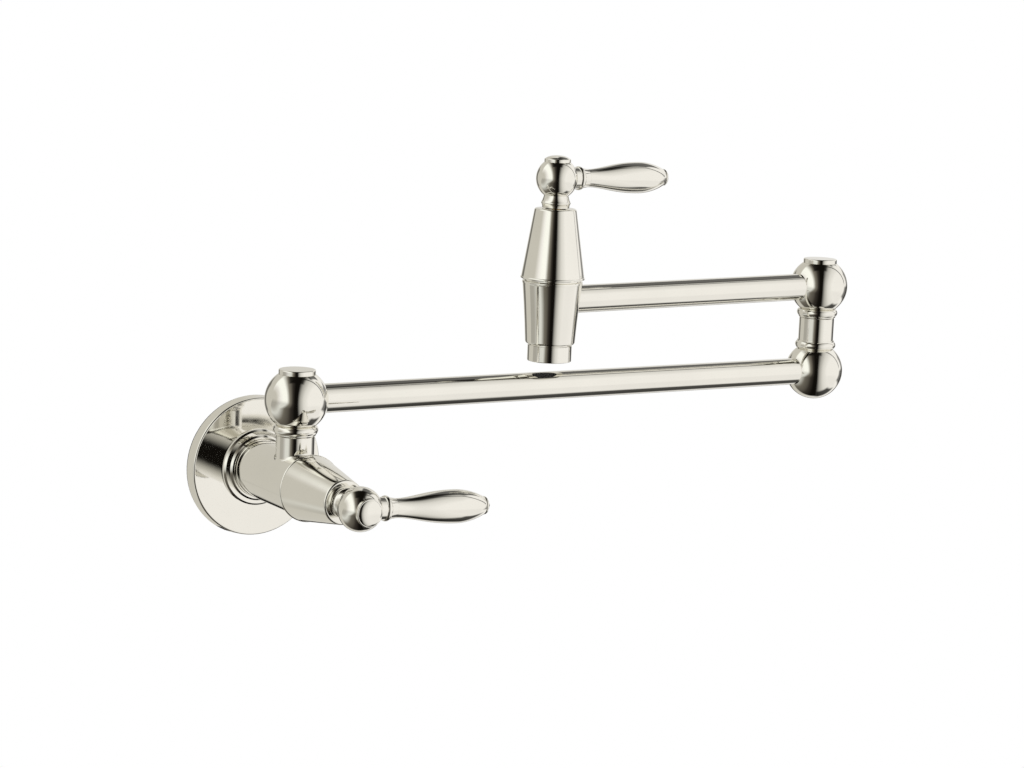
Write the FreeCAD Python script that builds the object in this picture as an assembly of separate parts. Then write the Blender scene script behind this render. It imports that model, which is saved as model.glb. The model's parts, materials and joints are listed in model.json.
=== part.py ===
import FreeCAD
import Part
import math
import os

# Wall mounted pot filler: a folding two-arm tap with a lever valve at the wall
# and a second lever valve above its spout.
# Origin: on the wall plane, on the axis of the wall valve.
# +X runs along the folded arms, +Y points into the wall, +Z is up.
# All sizes are in millimetres.

# ---- arms and swivels ----
arm_standoff = 53.9        # wall plane to the plane that holds both arms
lower_arm_height = 45.2    # wall valve axis to the lower arm axis
arm_rise = 52.0            # lower arm axis to the upper arm axis
lower_arm_length = 354.5   # shoulder pivot to elbow pivot
upper_arm_length = 193.4   # elbow pivot to spout axis, measured level
upper_arm_fall = 2.8       # how much lower the upper tube's axis is at the spout than at the elbow
tube_r = 8.0               # outside radius of both arm tubes
tube_wall = 1.2            # wall of both arm tubes
arm_waterway_r = 4.0       # cross hole from a ball into its tube
tube_seat = 11.0           # ball centre to the end of a tube in its socket
ball_r = 17.4              # swivel balls
bead_r = 12.3              # largest radius of the collar bead beside a ball
bead_root_r = 11.2         # radius at the seam side of the bead
bead_start = 13.9          # ball centre to the start of the bead
bead_mid = 15.9            # ball centre to the crown of the bead
bead_end = 18.2            # ball centre to the end of the bead's curve
seam_drop = 18.9           # ball centre to the swivel seam
seam_gap = 0.3             # open seam between ball collar and post
post_r = 10.6              # upright posts under the swivels
post_foot_fillet = 1.2     # small root radius where the riser meets the body
bead_overlap = 2.0         # how far the bead's root runs into its ball
cutter_reach = 1.0         # how far a cutting ring reaches past a surface

# ---- swivel stems, seals and retainers ----
swivel_stem_r = 7.2
swivel_bore_r = 4.6        # waterway in stems and posts
swivel_socket_depth = 12.0
swivel_chamber_r = 9.6
swivel_hole_r = 2.6        # cross holes from the stem into the chamber
swivel_hole_count = 4
stem_blind_top = 5.4       # ball centre to the blind end of the waterway
swivel_ledge = 9.0         # ball centre to the ledge under the retaining washer
swivel_washer_r = 8.1
swivel_washer_t = 1.0
swivel_stud_r = 3.9
swivel_nut_flats = 13.0
swivel_nut_t = 3.0
swivel_well_r = 8.6        # round well in the ball's top for washer and nut
thrust_washer_r = 9.0
thrust_washer_t = 0.8
o_ring_low = -9.0          # heights of the two stem seals from the ball centre
o_ring_high = 7.0
swivel_o_ring_section = 0.7
groove_slack = 0.25        # groove half-width beyond the ring's section radius

# ---- swivel caps ----
swivel_cap_r = 10.1
swivel_cap_seat = 14.1     # ball centre to the flat that the cap sits on
swivel_cap_t = 2.7
swivel_cap_edge = 0.7
swivel_cap_skirt = 2.4
swivel_cap_skirt_wall = 0.55
swivel_cap_inside = 1.2    # hollow under the cap, above its seat

# ---- wall flange and bracket ----
gasket_t = 1.2
gasket_inner_r = 36.4
gasket_outer_r = 39.2
flange_r = 39.6            # at the back edge
flange_front_r = 38.9      # where the front edge starts to round
flange_face = 8.4          # wall plane to the flange's flat face
flange_edge = 1.1          # rounding of the front edge
flange_skin = 2.0
hub_ring_1_r = 21.4
hub_ring_1_t = 2.5
hub_ring_2_r = 18.4
hub_ring_2_t = 2.0
hub_ring_round = 1.0
flange_hub_back = 6.1      # wall plane to the back of the flange's hub
flange_o_ring_section = 0.6
bracket_r = 30.0
bracket_t = 2.5
bracket_collar_r = 20.4
bracket_collar_t = 5.9
bracket_hole_r = 2.6
bracket_hole_circle_r = 25.0
bracket_hole_count = 3
lock_screw_r = 1.4
lock_screw_length = 3.4
lock_screw_hex_flats = 1.5
lock_screw_count = 2

# ---- valve bodies, shared by the wall valve and the spout valve ----
# Heights in the valve are measured along its axis from the seam, + outwards.
wall_body_r = 16.3
wall_seam = 72.3           # wall plane to the seam of the wall valve
spout_seam = 12.5          # upper tube's axis at the spout to the seam of the spout valve
inlet_r = 9.15             # drilled radius of the female supply thread
inlet_depth = 18.0
valve_waterway_r = 5.0
valve_seat = -27.3         # floor of the cartridge cavity
cavity_r = 10.5
neck_r = 13.9
neck_top = 9.0

# ---- spout body and nozzle, heights from the upper tube's axis at the spout ----
spout_groove_r = 16.3
spout_rim_r = 17.3
spout_rim_top = 11.5
spout_rim_foot = 9.4
spout_waist_r = 15.2
spout_waist = -10.3
spout_foot_r = 14.3
spout_bottom = -24.8
spout_foot_round = 1.4
spout_rim_flare = 0.3      # how far the rim stands out from the body's curve
spout_rim_rise = 0.6       # height of the slope from the curve to the rim
spout_rim_edge = 0.4       # bevel at the top of the rim
spout_tube_seat = 12.1     # spout axis to the end of the tube in its socket
nozzle_r = 12.7
nozzle_length = 10.0
nozzle_groove_r = 11.8
nozzle_groove_t = 0.7
nozzle_spigot_r = 10.0
nozzle_spigot_length = 5.3
nozzle_bore_r = 9.0
nozzle_lip_r = 8.1
nozzle_lip_t = 1.2
nozzle_edge = 0.5
aerator_washer_t = 2.4
aerator_washer_r = 5.5
aerator_hole_r = 0.75
aerator_rings = 3
aerator_pitch = 2.3

# ---- cartridge ----
seat_seal_t = 2.0
seat_seal_inner_r = 5.6
seat_seal_outer_r = 9.6
disc_t = 3.0
fixed_disc_r = 8.45
moving_disc_r = 8.1
disc_port_r = 2.5
disc_port_offset = 4.7
cartridge_r = 9.7
cartridge_cup_r = 8.5
cartridge_roof = -12.0
window_low = -16.6
window_high = -12.5
window_width = 8.0
window_count = 4
gland_r = 10.4
gland_low = 1.0
cartridge_hex_flats = 23.0
cartridge_hex_t = 4.0
sleeve_r = 7.0
sleeve_top = 20.0
cartridge_o_ring = 4.6
cartridge_o_ring_section = 0.9
valve_stem_r = 4.5
valve_stem_collar_r = 5.8
driver_width = 4.0
driver_key = 1.1           # how deep the driver bar sits in the moving disc
driver_top = -17.0
stem_o_ring = -4.0
stem_o_ring_section = 0.6
spindle_r = 4.0
spindle_flat = 3.2         # axis to the drive flat
spindle_top = 50.0

# ---- bonnet ----
bonnet_lip_r = 18.4
bonnet_lip_t = 1.0
bonnet_base_r = 18.0
bonnet_tip_r = 11.9
bonnet_length = 40.1
bonnet_tip_round = 1.1
bonnet_lip_bevel = 0.3
bonnet_lip_root = 0.2      # half the height of the slope behind the lip
bonnet_wall = 2.0
bonnet_thread = 8.0
bonnet_hole_r = 6.0

# ---- handle hub ----
handle_gap = 0.3           # bonnet tip to the turning hub
hub_foot_r = 7.8
hub_ring_r = 8.45
hub_ring = 43.2
hub_foot_t = 1.0
hub_ring_half_t = 0.5
hub_ring_crown = 0.2       # how far the ring's middle stands out from its edges
hub_neck_r = 7.0
hub_throat_drop = 2.2      # top of the neck to the middle of its curve
hub_throat_flare = 0.6     # how far the neck has widened there
hub_ball = 57.0
hub_ball_r = 11.9
hub_bore_depth = 50.2
handle_screw_r = 2.45
handle_screw_length = 16.0
thread_runout = 2.0        # tapped depth left below the handle screw
handle_screw_head_r = 4.4
handle_screw_head_t = 3.0
handle_screw_hex_flats = 3.0
handle_screw_hex_depth = 2.0
screw_hole_slack = 0.3     # radial room round a screw in its clearance hole
screw_well_r = 5.0
handle_cap_r = 7.55
handle_cap_side = 2.1
handle_cap_edge = 0.6
handle_cap_t = 3.9
handle_cap_plug = 3.5

# ---- lever, distances from the centre of the hub ball ----
lever_spot = 9.6           # centre to the flat that the ferrule is let into
ferrule_base_r = 6.1
ferrule_flange = 13.4
ferrule_flange_r = 6.8
ferrule_flange_t = 2.8
ferrule_edge = 0.3
ferrule_neck = 18.0        # middle of the hollow curve in front of the flange
ferrule_neck_r = 5.75
ferrule_end_r = 5.3
ferrule_end = 20.2
lever_stud_r = 2.45
lever_stud_start = 6.2
grip_neck_r = 5.2
grip_widest = 57.0
grip_widest_r = 9.03
grip_end = 74.2
grip_end_r = 4.8
# The grip's curve: shares of the way from neck to widest place, and of the swelling gained there,
# then the same for the taper from the widest place down to the end.
grip_swell = ((0.226, 0.144), (0.489, 0.587), (0.755, 0.893))
grip_taper = (0.616, 0.374)
tip_disc_r = 4.9
tip_disc_t = 1.5
tip_disc_round = 0.4
tip_bead_r = 1.7
tip_bead_neck_r = 1.3
tip_stud_r = 1.4
tip_stud_length = 5.0
wall_lever_droop = 2.7     # the wall lever rests this many degrees below level
spout_lever_lean = 2.0     # the spout lever rests this many degrees towards the wall

# ---- named clearances ----
joint_clearance = 0.05     # fixed fits inside one body, per side
running_clearance = 0.05   # turning fits, per side

quarter_share = 1 - math.sqrt(0.5)   # how far the middle of a quarter round stays inside its corner

origin = FreeCAD.Vector(0, 0, 0)
x_axis = FreeCAD.Vector(1, 0, 0)
y_axis = FreeCAD.Vector(0, 1, 0)
z_axis = FreeCAD.Vector(0, 0, 1)


# ---- shape helpers ----
def at(r, z):
    return FreeCAD.Vector(r, 0, z)


def outline(start, steps):
    """Closed face in the XZ plane. A step is a point, an (arc, middle, end) or a (curve, points)."""
    edges = []
    here = at(*start)
    for step in steps:
        if step[0] == "arc":
            end = at(*step[2])
            edges.append(Part.Arc(here, at(*step[1]), end).toShape())
        elif step[0] == "curve":
            end = at(*step[1][-1])
            spline = Part.BSplineCurve()
            spline.interpolate([here] + [at(*point) for point in step[1]])
            edges.append(spline.toShape())
        else:
            end = at(*step)
            edges.append(Part.makeLine(here, end))
        here = end
    edges.append(Part.makeLine(here, at(*start)))
    return Part.Face(Part.Wire(edges))


def turned(start, steps):
    """Solid of revolution about the Z axis."""
    return outline(start, steps).revolve(origin, z_axis, 360)


def dome(r, low, top):
    """Arc step from (r, low) to (0, top), on a circle centred on the axis."""
    height = top - low
    radius = (r * r + height * height) / (2 * height)
    half = math.asin(r / radius) / 2
    return ("arc", (radius * math.sin(half), top - radius + radius * math.cos(half)), (0, top))


def rod(r, low, high):
    return Part.makeCylinder(r, high - low, at(0, low))


def ring(inner, outer, low, high):
    return rod(outer, low, high).cut(rod(inner, low, high))


def o_ring(centre_r, section_r, height):
    return Part.makeTorus(centre_r, section_r, at(0, height))


def hexagon(flats, low, high):
    corner = flats / math.sqrt(3)
    points = [at(0, low)] * 7
    for i in range(7):
        turn = math.radians(60 * i)
        points[i] = FreeCAD.Vector(corner * math.cos(turn), corner * math.sin(turn), low)
    face = Part.Face(Part.makePolygon(points))
    return face.extrude(z_axis * (high - low))


def around(shape, count, first=0.0):
    """Copies of a shape spaced evenly about the Z axis."""
    copies = []
    for i in range(count):
        copy = shape.copy()
        copy.rotate(origin, z_axis, first + 360.0 * i / count)
        copies.append(copy)
    return copies


def along_x(shape, height=0.0):
    """Lays a shape made along +Z down along +X, at the given height."""
    laid = shape.copy()
    laid.rotate(origin, y_axis, 90)
    laid.translate(z_axis * height)
    return laid


def sphere_half_chord(r, offset):
    return math.sqrt(r * r - offset * offset)


# ---- placing ----
def on_wall(shape):
    """From a frame whose +Z leaves the wall to the part's own frame."""
    placed = shape.copy()
    placed.rotate(origin, x_axis, 90)
    return placed


def on_wall_valve(shape):
    placed = shape.copy()
    placed.translate(z_axis * wall_seam)
    return on_wall(placed)


def on_wall_handle(shape):
    placed = on_wall_valve(shape)
    placed.rotate(origin, y_axis, wall_lever_droop)
    return placed


def moved(x, z):
    def place(shape):
        placed = shape.copy()
        placed.translate(FreeCAD.Vector(x, -arm_standoff, z))
        return placed
    return place


def tilted(shape):
    """Tilts a shape laid out level so that it falls from the elbow towards the spout."""
    shape.rotate(origin, y_axis, -math.degrees(math.atan2(upper_arm_fall, upper_arm_length)))
    return shape


upper_arm_height = lower_arm_height + arm_rise
spout_x = lower_arm_length - upper_arm_length
spout_height = upper_arm_height - upper_arm_fall
at_shoulder = moved(0, lower_arm_height)
at_elbow_low = moved(lower_arm_length, lower_arm_height)
at_elbow_high = moved(lower_arm_length, upper_arm_height)
at_spout = moved(spout_x, spout_height)
on_spout_valve = moved(spout_x, spout_height + spout_seam)


def on_spout_handle(shape):
    leaning = shape.copy()
    leaning.rotate(origin, z_axis, spout_lever_lean)
    return on_spout_valve(leaning)


# ---- wall flange, bracket and seals, height = distance from the wall ----
def wall_gasket():
    return ring(gasket_inner_r, gasket_outer_r, 0, gasket_t)


def wall_flange():
    bore = wall_body_r + joint_clearance
    inner_rim = flange_front_r - flange_skin
    ring_1_top = flange_face + hub_ring_1_t
    ring_2_top = ring_1_top + hub_ring_2_t
    shoulder = flange_face - flange_edge
    corner = flange_edge * quarter_share
    ring_corner = hub_ring_round * quarter_share
    shell = turned((inner_rim, gasket_t), [
        (flange_r, gasket_t),
        (flange_front_r, shoulder),
        ("arc", (flange_front_r - corner, flange_face - corner),
         (flange_front_r - flange_edge, flange_face)),
        (hub_ring_1_r, flange_face),
        (hub_ring_1_r, ring_1_top - hub_ring_round),
        ("arc", (hub_ring_1_r - ring_corner, ring_1_top - ring_corner),
         (hub_ring_1_r - hub_ring_round, ring_1_top)),
        (hub_ring_2_r, ring_1_top),
        (hub_ring_2_r, ring_2_top - hub_ring_round),
        ("arc", (hub_ring_2_r - ring_corner, ring_2_top - ring_corner),
         (hub_ring_2_r - hub_ring_round, ring_2_top)),
        (bore, ring_2_top),
        (bore, flange_hub_back),
        (hub_ring_1_r, flange_hub_back),
        (hub_ring_1_r, flange_face - flange_skin),
        (inner_rim, flange_face - flange_skin),
    ])
    half = flange_o_ring_section + groove_slack
    seal_z = flange_o_ring_height()
    groove = ring(bore - joint_clearance, wall_body_r + 2 * flange_o_ring_section + joint_clearance,
                  seal_z - half, seal_z + half)
    return shell.cut(groove)


def flange_o_ring_height():
    return (flange_hub_back + flange_face + hub_ring_1_t + hub_ring_2_t) / 2


def flange_o_ring():
    return o_ring(wall_body_r + flange_o_ring_section, flange_o_ring_section, flange_o_ring_height())


def lock_screw_height():
    return (bracket_t + bracket_collar_t) / 2


def wall_bracket():
    plate = rod(bracket_r, 0, bracket_t).fuse(rod(bracket_collar_r, 0, bracket_collar_t))
    plate = plate.cut(rod(wall_body_r + joint_clearance, 0, bracket_collar_t))
    hole = rod(bracket_hole_r, 0, bracket_t)
    hole.translate(x_axis * bracket_hole_circle_r)
    for copy in around(hole, bracket_hole_count, 90):
        plate = plate.cut(copy)
    tapped = rod(lock_screw_r + joint_clearance, wall_body_r, bracket_collar_r)
    for copy in around(along_x(tapped, lock_screw_height()), lock_screw_count):
        plate = plate.cut(copy)
    return plate


def body_lock_screws():
    start = wall_body_r + joint_clearance
    end = start + lock_screw_length
    screw = rod(lock_screw_r, start, end)
    screw = screw.cut(hexagon(lock_screw_hex_flats, end - lock_screw_length / 2, end))
    return Part.makeCompound(around(along_x(screw, lock_screw_height()), lock_screw_count))


# ---- valve bodies ----
def cartridge_cavity():
    """Space that the cartridge drops into, measured from the seam."""
    return rod(cavity_r, valve_seat, neck_top)


def valve_body():
    """Wall valve body with its riser, height = distance from the wall."""
    tail = rod(wall_body_r, 0, wall_seam)
    post_top = lower_arm_height - seam_drop - seam_gap
    post = Part.makeCylinder(post_r, post_top, FreeCAD.Vector(0, 0, arm_standoff), y_axis)
    body = tail.fuse(post).Solids[0]
    foot = [edge for edge in body.Edges if isinstance(edge.Curve, Part.BSplineCurve)]
    body = body.makeFillet(post_foot_fillet, foot)
    body = body.fuse(rod(neck_r, wall_seam, wall_seam + neck_top))
    cavity = cartridge_cavity()
    cavity.translate(z_axis * wall_seam)
    body = body.cut(cavity)
    body = body.cut(rod(inlet_r, 0, inlet_depth))
    body = body.cut(rod(valve_waterway_r, inlet_depth, wall_seam + valve_seat))
    centre = FreeCAD.Vector(0, 0, arm_standoff)
    body = body.cut(Part.makeCylinder(swivel_bore_r, post_top, centre, y_axis))
    socket = swivel_socket(post_top)
    for low, high, r in socket:
        start = centre + y_axis * low
        body = body.cut(Part.makeCylinder(r, high - low, start, y_axis))
    return body


def swivel_socket(post_top):
    """Bores at the top of a post for the swivel stem and the thrust washer."""
    stem_hole = (post_top - swivel_socket_depth, post_top, swivel_stem_r + joint_clearance)
    recess_depth = thrust_washer_t - seam_gap
    recess = (post_top - recess_depth, post_top, thrust_washer_r + joint_clearance)
    return [stem_hole, recess]


def spout_body():
    corner = spout_foot_round * quarter_share
    body = turned((0, spout_bottom), [
        (spout_foot_r - spout_foot_round, spout_bottom),
        ("arc", (spout_foot_r - corner, spout_bottom + corner),
         (spout_foot_r, spout_bottom + spout_foot_round)),
        ("curve", [(spout_waist_r, spout_waist), (spout_rim_r - spout_rim_flare, spout_rim_foot)]),
        (spout_rim_r, spout_rim_foot + spout_rim_rise),
        (spout_rim_r, spout_rim_top - spout_rim_edge),
        (spout_groove_r, spout_rim_top),
        (spout_groove_r, spout_seam),
        (neck_r, spout_seam),
        (neck_r, spout_seam + neck_top),
        (0, spout_seam + neck_top),
    ])
    cavity = cartridge_cavity()
    cavity.translate(z_axis * spout_seam)
    body = body.cut(cavity)
    thread_top = spout_bottom + nozzle_spigot_length + 2 * joint_clearance
    body = body.cut(rod(valve_waterway_r, thread_top, spout_seam + valve_seat))
    body = body.cut(rod(nozzle_spigot_r + joint_clearance, spout_bottom, thread_top))
    body = body.cut(tilted(along_x(rod(tube_r + joint_clearance, spout_tube_seat, 2 * spout_rim_r))))
    return body.cut(tilted(along_x(rod(arm_waterway_r, cavity_r / 2, spout_tube_seat))))


# ---- nozzle ----
def nozzle_mouth():
    return spout_bottom - nozzle_length


def nozzle_ring():
    low = nozzle_mouth()
    top = spout_bottom + nozzle_spigot_length
    corner = nozzle_edge * quarter_share
    return turned((nozzle_lip_r, low), [
        (nozzle_r - nozzle_edge, low),
        ("arc", (nozzle_r - corner, low + corner), (nozzle_r, low + nozzle_edge)),
        (nozzle_r, spout_bottom - nozzle_groove_t),
        (nozzle_groove_r, spout_bottom - nozzle_groove_t),
        (nozzle_groove_r, spout_bottom),
        (nozzle_spigot_r, spout_bottom),
        (nozzle_spigot_r, top),
        (nozzle_bore_r, top),
        (nozzle_bore_r, low + nozzle_lip_t),
        (nozzle_lip_r, low + nozzle_lip_t),
    ])


def aerator_top():
    return spout_bottom + nozzle_spigot_length + 2 * joint_clearance - aerator_washer_t


def aerator_insert():
    insert = rod(nozzle_bore_r - joint_clearance, nozzle_mouth() + nozzle_lip_t, aerator_top())
    hole = rod(aerator_hole_r, nozzle_mouth(), aerator_top())
    holes = [hole]
    for k in range(1, aerator_rings + 1):
        copy = hole.copy()
        copy.translate(x_axis * (k * aerator_pitch))
        holes += around(copy, 6 * k)
    return insert.cut(Part.makeCompound(holes))


def aerator_washer():
    low = aerator_top()
    return ring(aerator_washer_r, nozzle_bore_r - joint_clearance, low, low + aerator_washer_t)


# ---- swivels: heights from the ball centre ----
def bead(sign):
    """Turned collar beside a ball, above it for sign +1 and below it for sign -1."""
    inner = swivel_stem_r + running_clearance
    return turned((inner, sign * (bead_start - bead_overlap)), [
        (sphere_half_chord(ball_r, bead_start), sign * (bead_start - bead_overlap)),
        (sphere_half_chord(ball_r, bead_start), sign * bead_start),
        (bead_root_r, sign * bead_start),
        ("arc", (bead_r, sign * bead_mid), (bead_root_r, sign * bead_end)),
        (bead_root_r, sign * seam_drop),
        (inner, sign * seam_drop),
    ])


def turning_ball():
    """Upper half of a swivel: ball and collar that turn on the hollow stem, without its tube's socket."""
    inner = swivel_stem_r + running_clearance
    ball = Part.makeSphere(ball_r).fuse(bead(-1))
    ball = ball.cut(rod(ball_r, swivel_cap_seat, ball_r))
    ball = ball.cut(rod(inner, -seam_drop, swivel_ledge))
    ball = ball.cut(rod(swivel_well_r, swivel_ledge, ball_r))
    return ball.cut(rod(swivel_chamber_r, -arm_waterway_r, arm_waterway_r))


def tube_socket(waterway_start):
    """Stepped hole along +X: the bore that takes a tube's end, and the water's way into it."""
    socket = rod(tube_r + joint_clearance, tube_seat, 2 * ball_r)
    return along_x(socket.fuse(rod(arm_waterway_r, waterway_start, tube_seat)))


def turned_back(shape):
    """Turns a shape that points along +X so that it points along -X."""
    shape.rotate(origin, z_axis, 180)
    return shape


def shoulder_ball():
    return turning_ball().cut(tube_socket(swivel_stem_r + running_clearance))


def elbow_upper_ball():
    return turning_ball().cut(tilted(turned_back(tube_socket(swivel_stem_r + running_clearance))))


def elbow_lower_ball():
    """Fixed half of the elbow: ball, collar and post in one casting."""
    post_top = arm_rise - seam_drop - seam_gap
    ball = Part.makeSphere(ball_r).fuse(bead(1)).fuse(rod(post_r, 0, post_top))
    ball = ball.cut(rod(swivel_bore_r, 0, post_top))
    for low, high, r in swivel_socket(post_top):
        ball = ball.cut(rod(r, low, high))
    return ball.cut(turned_back(tube_socket(0)))


def swivel_stem():
    """Hollow stem that is screwed into the post and carries the turning ball."""
    foot = -seam_drop - seam_gap - swivel_socket_depth
    shoulder = swivel_ledge + seam_gap
    stud_top = shoulder + swivel_washer_t + swivel_nut_t + seam_gap
    stem = rod(swivel_stem_r, foot, shoulder).fuse(rod(swivel_stud_r, shoulder, stud_top))
    stem = stem.cut(rod(swivel_bore_r, foot, stem_blind_top))
    for hole in around(along_x(rod(swivel_hole_r, 0, swivel_stem_r + cutter_reach)), swivel_hole_count):
        stem = stem.cut(hole)
    half = swivel_o_ring_section + groove_slack
    root = swivel_stem_r - 2 * swivel_o_ring_section + running_clearance
    for height in (o_ring_low, o_ring_high):
        low = height - half
        stem = stem.cut(ring(root - joint_clearance, swivel_stem_r + cutter_reach, low, height + half))
    return stem


def swivel_o_rings():
    centre_r = swivel_stem_r - swivel_o_ring_section + running_clearance / 2
    rings = [o_ring(centre_r, swivel_o_ring_section, height) for height in (o_ring_low, o_ring_high)]
    return Part.makeCompound(rings)


def thrust_washer():
    top = -seam_drop
    return ring(swivel_stem_r + joint_clearance, thrust_washer_r, top - thrust_washer_t, top)


def retaining_washer():
    low = swivel_ledge + seam_gap
    return ring(swivel_stud_r + joint_clearance, swivel_washer_r, low, low + swivel_washer_t)


def retaining_nut():
    low = swivel_ledge + seam_gap + swivel_washer_t
    nut = hexagon(swivel_nut_flats, low, low + swivel_nut_t)
    return nut.cut(rod(swivel_stud_r + joint_clearance, low, low + swivel_nut_t))


def swivel_cap():
    seat = swivel_cap_seat
    top = seat + swivel_cap_t
    plug_r = swivel_well_r - joint_clearance
    hollow_r = plug_r - swivel_cap_skirt_wall
    corner = swivel_cap_edge * quarter_share
    return turned((hollow_r, seat - swivel_cap_skirt), [
        (plug_r, seat - swivel_cap_skirt),
        (plug_r, seat),
        (swivel_cap_r, seat),
        (swivel_cap_r, top - swivel_cap_edge),
        ("arc", (swivel_cap_r - corner, top - corner), (swivel_cap_r - swivel_cap_edge, top)),
        (0, top),
        (0, seat + swivel_cap_inside),
        (hollow_r, seat + swivel_cap_inside),
    ])


# ---- arm tubes, measured along the tube from the pivot or spout they start at ----
def arm_tube(start, end):
    return along_x(ring(tube_r - tube_wall, tube_r, start, end))


def lower_tube():
    return arm_tube(tube_seat, lower_arm_length - tube_seat)


def upper_tube():
    return tilted(arm_tube(spout_tube_seat, math.hypot(upper_arm_length, upper_arm_fall) - tube_seat))


# ---- cartridge, heights from the valve's seam ----
seal_top = valve_seat + seat_seal_t
disc_split = seal_top + disc_t
disc_top = disc_split + disc_t


def seat_seal():
    return ring(seat_seal_inner_r, seat_seal_outer_r, valve_seat, seal_top)


def disc_ports(low, high, first):
    port = rod(disc_port_r, low, high)
    port.translate(x_axis * disc_port_offset)
    return Part.makeCompound(around(port, 2, first))


def fixed_disc():
    return rod(fixed_disc_r, seal_top, disc_split).cut(disc_ports(seal_top, disc_split, 90))


def moving_disc():
    disc = rod(moving_disc_r, disc_split, disc_top).cut(disc_ports(disc_split, disc_top, 0))
    slot_width = driver_width + 2 * joint_clearance
    corner = FreeCAD.Vector(-slot_width / 2, -cavity_r, disc_top - driver_key)
    return disc.cut(Part.makeBox(slot_width, 2 * cavity_r, driver_key, corner))


def cartridge_body():
    body = rod(cartridge_r, seal_top, neck_top).fuse(rod(gland_r, gland_low, neck_top))
    body = body.fuse(hexagon(cartridge_hex_flats, neck_top, neck_top + cartridge_hex_t))
    body = body.fuse(rod(sleeve_r, neck_top, sleeve_top))
    body = body.cut(rod(cartridge_cup_r, seal_top, cartridge_roof))
    body = body.cut(rod(valve_stem_r + running_clearance, cartridge_roof, sleeve_top))
    corner = FreeCAD.Vector(0, -window_width / 2, window_low)
    window = Part.makeBox(cavity_r, window_width, window_high - window_low, corner)
    for copy in around(window, window_count):
        body = body.cut(copy)
    half = cartridge_o_ring_section + groove_slack
    root = cavity_r - 2 * cartridge_o_ring_section - 2 * joint_clearance
    return body.cut(ring(root, cavity_r, cartridge_o_ring - half, cartridge_o_ring + half))


def cartridge_o_ring_seal():
    centre_r = cavity_r - cartridge_o_ring_section - joint_clearance
    return o_ring(centre_r, cartridge_o_ring_section, cartridge_o_ring)


def cartridge_stem():
    """Turning stem: driver bar in the moving disc, collar, shaft and flatted spindle."""
    corner = FreeCAD.Vector(-driver_width / 2, -cavity_r, disc_top - driver_key + joint_clearance)
    bar = Part.makeBox(driver_width, 2 * cavity_r, driver_top - corner.z, corner)
    bar = bar.common(rod(moving_disc_r, valve_seat, driver_top))
    collar = rod(valve_stem_collar_r, driver_top, cartridge_roof - handle_gap)
    shaft = rod(valve_stem_r, driver_top, sleeve_top)
    stem = bar.fuse(collar).fuse(shaft).fuse(spindle(0, sleeve_top, spindle_top))
    half = stem_o_ring_section + groove_slack
    root = valve_stem_r - 2 * stem_o_ring_section
    stem = stem.cut(ring(root, valve_stem_r + cutter_reach, stem_o_ring - half, stem_o_ring + half))
    tap_low = screw_floor - handle_screw_length - thread_runout
    tapped = rod(handle_screw_r + joint_clearance, tap_low, spindle_top)
    return stem.cut(tapped)


def stem_o_ring_seal():
    centre_r = valve_stem_r - stem_o_ring_section + running_clearance / 2
    return o_ring(centre_r, stem_o_ring_section, stem_o_ring)


def spindle(slack, low, high):
    """Round spindle with one drive flat, or the hole for it with slack on each side."""
    size = spindle_r + slack
    corner = FreeCAD.Vector(spindle_flat + slack, -2 * size, low)
    return rod(size, low, high).cut(Part.makeBox(2 * size, 4 * size, high - low, corner))


# ---- bonnet ----
def bonnet():
    slope = (bonnet_base_r - bonnet_tip_r) / (bonnet_length - bonnet_lip_t)
    thread_r = neck_r + joint_clearance
    ceiling = bonnet_length - bonnet_wall
    inner_foot = bonnet_base_r - slope * (bonnet_thread - bonnet_lip_t) - bonnet_wall
    inner_head = bonnet_tip_r + slope * bonnet_wall - bonnet_wall
    shoulder = bonnet_length - bonnet_tip_round
    shoulder_r = bonnet_tip_r + slope * bonnet_tip_round
    corner = bonnet_tip_round * quarter_share
    return turned((thread_r, 0), [
        (bonnet_lip_r - bonnet_lip_bevel, 0),
        (bonnet_lip_r, bonnet_lip_bevel),
        (bonnet_lip_r, bonnet_lip_t - bonnet_lip_root),
        (bonnet_base_r, bonnet_lip_t + bonnet_lip_root),
        (shoulder_r, shoulder),
        ("arc", (bonnet_tip_r - corner, bonnet_length - corner),
         (bonnet_tip_r - bonnet_tip_round, bonnet_length)),
        (bonnet_hole_r, bonnet_length),
        (bonnet_hole_r, ceiling),
        (inner_head, ceiling),
        (inner_foot, bonnet_thread),
        (thread_r, bonnet_thread),
    ])


# ---- handle ----
hub_foot = bonnet_length + handle_gap
screw_floor = hub_ball
cap_seat = hub_ball + sphere_half_chord(hub_ball_r, handle_cap_r)


def handle_hub():
    ball_join = hub_ball - sphere_half_chord(hub_ball_r, hub_neck_r)
    ring_edge_r = hub_ring_r - hub_ring_crown
    neck = turned((0, hub_foot), [
        (hub_foot_r, hub_foot),
        (hub_foot_r, hub_foot + hub_foot_t),
        (ring_edge_r, hub_ring - hub_ring_half_t),
        ("arc", (hub_ring_r, hub_ring), (ring_edge_r, hub_ring + hub_ring_half_t)),
        ("arc", (hub_neck_r + hub_throat_flare, ball_join - hub_throat_drop), (hub_neck_r, ball_join)),
        (hub_neck_r, hub_ball),
        (0, hub_ball),
    ])
    hub = Part.makeSphere(hub_ball_r, at(0, hub_ball)).fuse(neck)
    hub = hub.cut(rod(hub_ball_r, cap_seat, cap_seat + hub_ball_r))
    hub = hub.cut(spindle(joint_clearance, hub_foot, hub_bore_depth))
    hub = hub.cut(rod(handle_screw_r + screw_hole_slack, hub_bore_depth, screw_floor))
    hub = hub.cut(rod(screw_well_r, screw_floor, cap_seat))
    hub = hub.cut(along_x(rod(ferrule_base_r + joint_clearance, lever_spot, 2 * hub_ball_r), hub_ball))
    stud_hole = rod(lever_stud_r + joint_clearance, lever_stud_start - screw_hole_slack, lever_spot)
    return hub.cut(along_x(stud_hole, hub_ball))


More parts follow.
